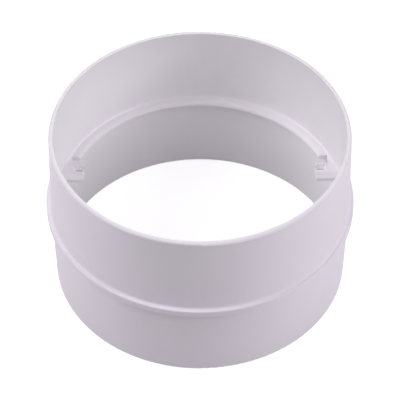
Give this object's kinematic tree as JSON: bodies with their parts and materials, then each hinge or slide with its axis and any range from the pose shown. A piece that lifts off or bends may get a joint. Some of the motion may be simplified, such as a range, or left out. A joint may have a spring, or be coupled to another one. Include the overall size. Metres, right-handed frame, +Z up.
{
  "type": "duct connector",
  "caption": "Round moulded duct connector with tapered spigots either side of a stop bead, and an inner seat ledge with pivot brackets for a backdraught flap.",
  "frame": {"origin": "centre of the lower lip, on the surface that the connector stands on", "axes": "+Z up the duct axis from the lower lip to the upper lip, +Y towards the seat ledge, X along the line between the pivot brackets"},
  "size_m": [0.1554, 0.1554, 0.092],
  "materials": {
    "white_moulding": "satin white injection-moulded plastic"
  },
  "bodies": {
    "root": {"duct_connector": "white_moulding"}
  },
  "joints": []
}
